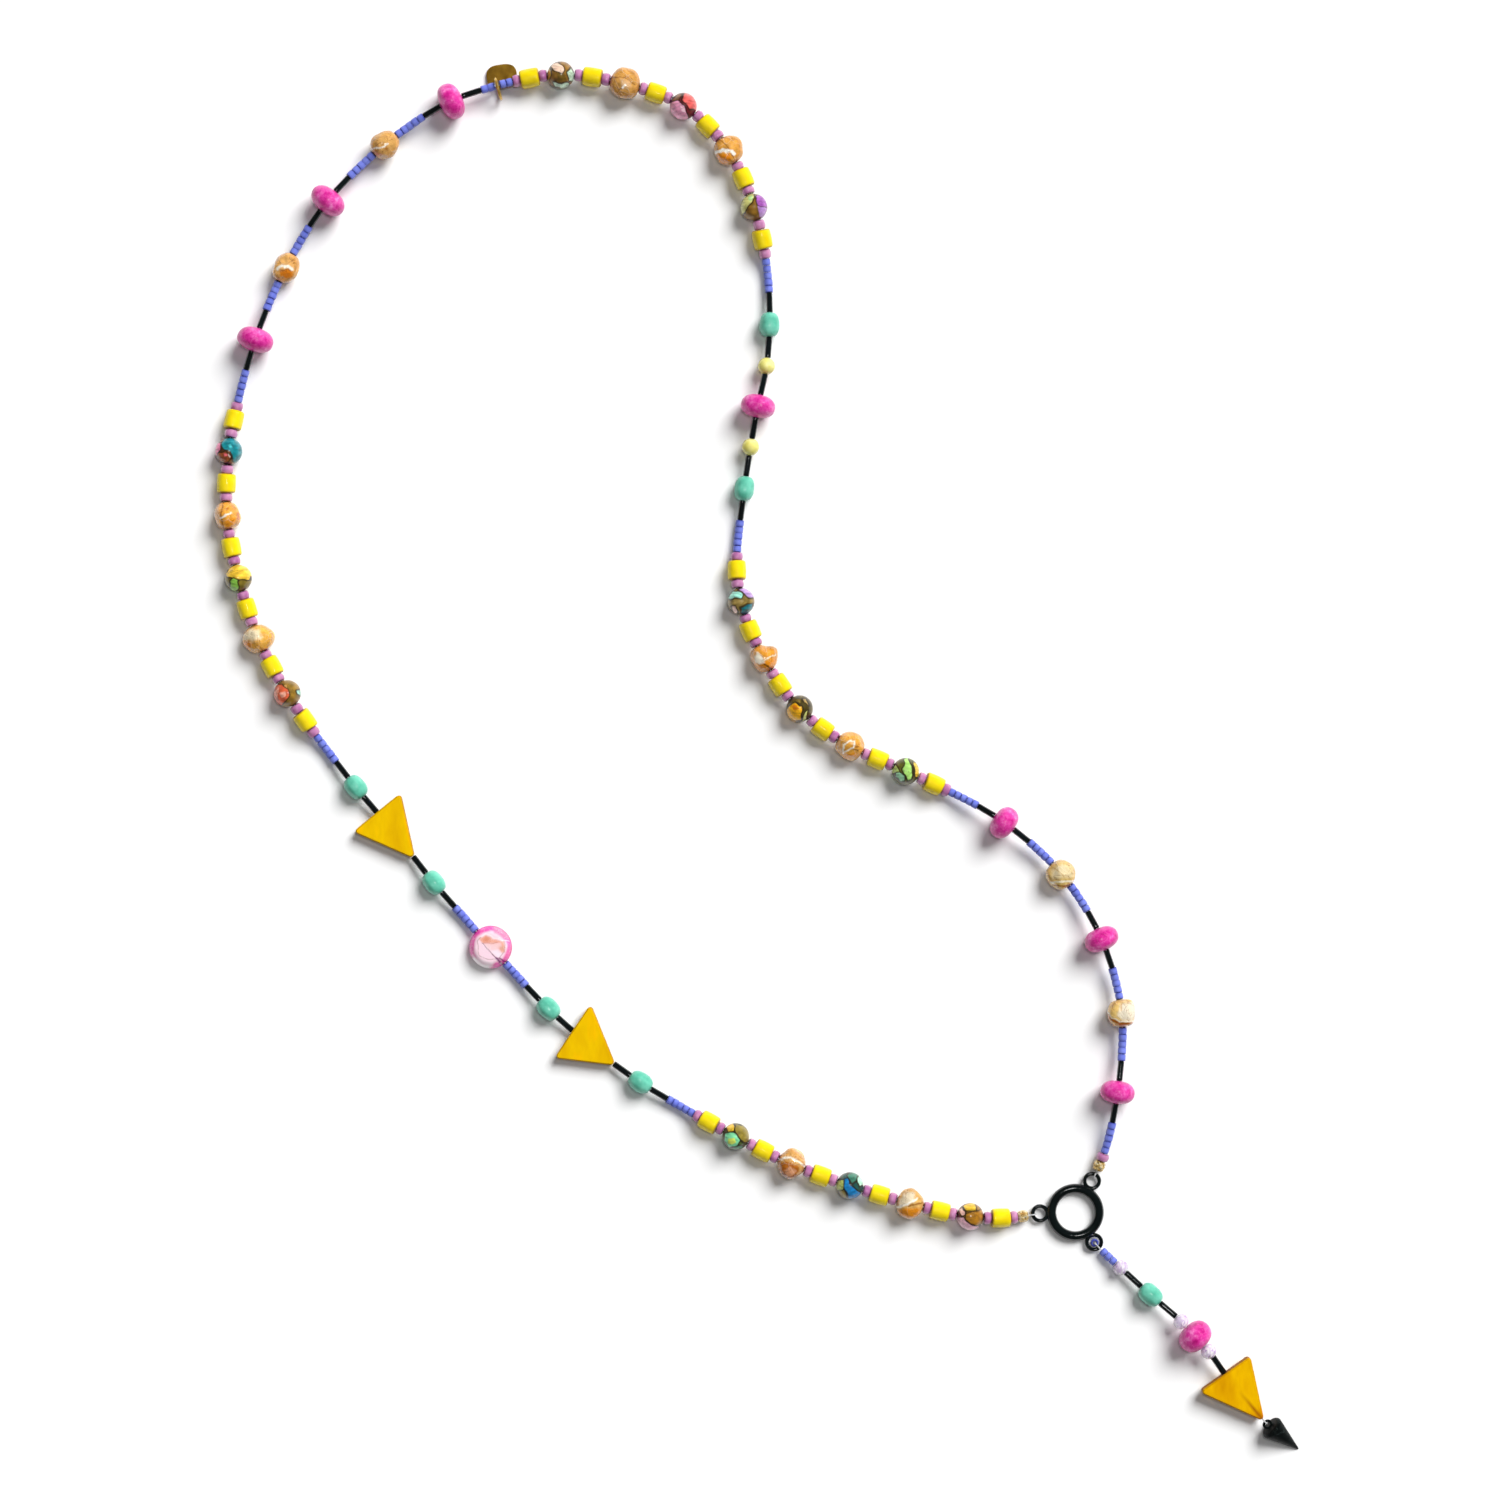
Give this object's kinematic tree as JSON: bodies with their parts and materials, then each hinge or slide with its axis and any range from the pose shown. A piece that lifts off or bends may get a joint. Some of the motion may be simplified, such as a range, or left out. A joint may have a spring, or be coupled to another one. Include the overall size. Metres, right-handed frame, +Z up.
{
  "type": "rosary necklace",
  "caption": "Long beaded rosary necklace lying flat, with mosaic, amber, pink and shell beads, a black connector ring with three eyelets, and a drop that ends in a spike.",
  "frame": {"origin": "on the floor, under the middle of the laid-out necklace", "axes": "+Z up from the floor, +Y along the laid-out loop away from the drop, +X to the side on which the drop lies"},
  "size_m": [0.2781, 0.3557, 0.0092],
  "materials": {
    "black_enamel": "gloss",
    "clear_thread": "satin",
    "gold_bead_metal": "hammered",
    "mauve_glass": "gloss",
    "yellow_glass": "gloss",
    "black_glass": "gloss",
    "pale_glass": "gloss",
    "lavender_crystal": "polished",
    "blue_glass": "matte",
    "pink_shell": "polished",
    "tag_metal": "antique",
    "jump_ring_metal": "polished",
    "black_spike_metal": "satin",
    "shell_mosaic": "polished",
    "amber_glass": "polished",
    "pink_stone": "polished",
    "turquoise_stone": "satin",
    "golden_shell": "polished"
  },
  "bodies": {
    "root": {"connector_ring": "black_enamel", "thread": "clear_thread", "drop_thread": "clear_thread", "end_beads": "gold_bead_metal", "rocailles": "mauve_glass", "yellow_cylinders": "yellow_glass", "bugles": "black_glass", "pale_rounds": "pale_glass", "drop_crystals": "lavender_crystal", "seed_strands": "blue_glass", "shell_disc": "pink_shell", "tag": "tag_metal", "jump_ring": "jump_ring_metal", "spike": "black_spike_metal", "mosaic_bead_1": "shell_mosaic", "mosaic_bead_2": "shell_mosaic", "mosaic_bead_3": "shell_mosaic", "mosaic_bead_4": "shell_mosaic", "mosaic_bead_5": "shell_mosaic", "mosaic_bead_6": "shell_mosaic", "mosaic_bead_7": "shell_mosaic", "mosaic_bead_8": "shell_mosaic", "mosaic_bead_9": "shell_mosaic", "mosaic_bead_10": "shell_mosaic", "mosaic_bead_11": "shell_mosaic", "mosaic_bead_12": "shell_mosaic", "amber_nugget_1": "amber_glass", "amber_nugget_2": "amber_glass", "amber_nugget_3": "amber_glass", "amber_nugget_4": "amber_glass", "amber_nugget_5": "amber_glass", "amber_nugget_6": "amber_glass", "amber_nugget_7": "amber_glass", "amber_nugget_8": "amber_glass", "amber_nugget_9": "amber_glass", "amber_nugget_10": "amber_glass", "amber_nugget_11": "amber_glass", "amber_nugget_12": "amber_glass", "pink_rondelle_1": "pink_stone", "pink_rondelle_2": "pink_stone", "pink_rondelle_3": "pink_stone", "pink_rondelle_4": "pink_stone", "pink_rondelle_5": "pink_stone", "pink_rondelle_6": "pink_stone", "pink_rondelle_7": "pink_stone", "pink_rondelle_8": "pink_stone", "turquoise_barrel_1": "turquoise_stone", "turquoise_barrel_2": "turquoise_stone", "turquoise_barrel_3": "turquoise_stone", "turquoise_barrel_4": "turquoise_stone", "turquoise_barrel_5": "turquoise_stone", "turquoise_barrel_6": "turquoise_stone", "turquoise_barrel_7": "turquoise_stone", "shell_triangle_1": "golden_shell", "shell_triangle_2": "golden_shell", "shell_triangle_3": "golden_shell"}
  },
  "joints": []
}
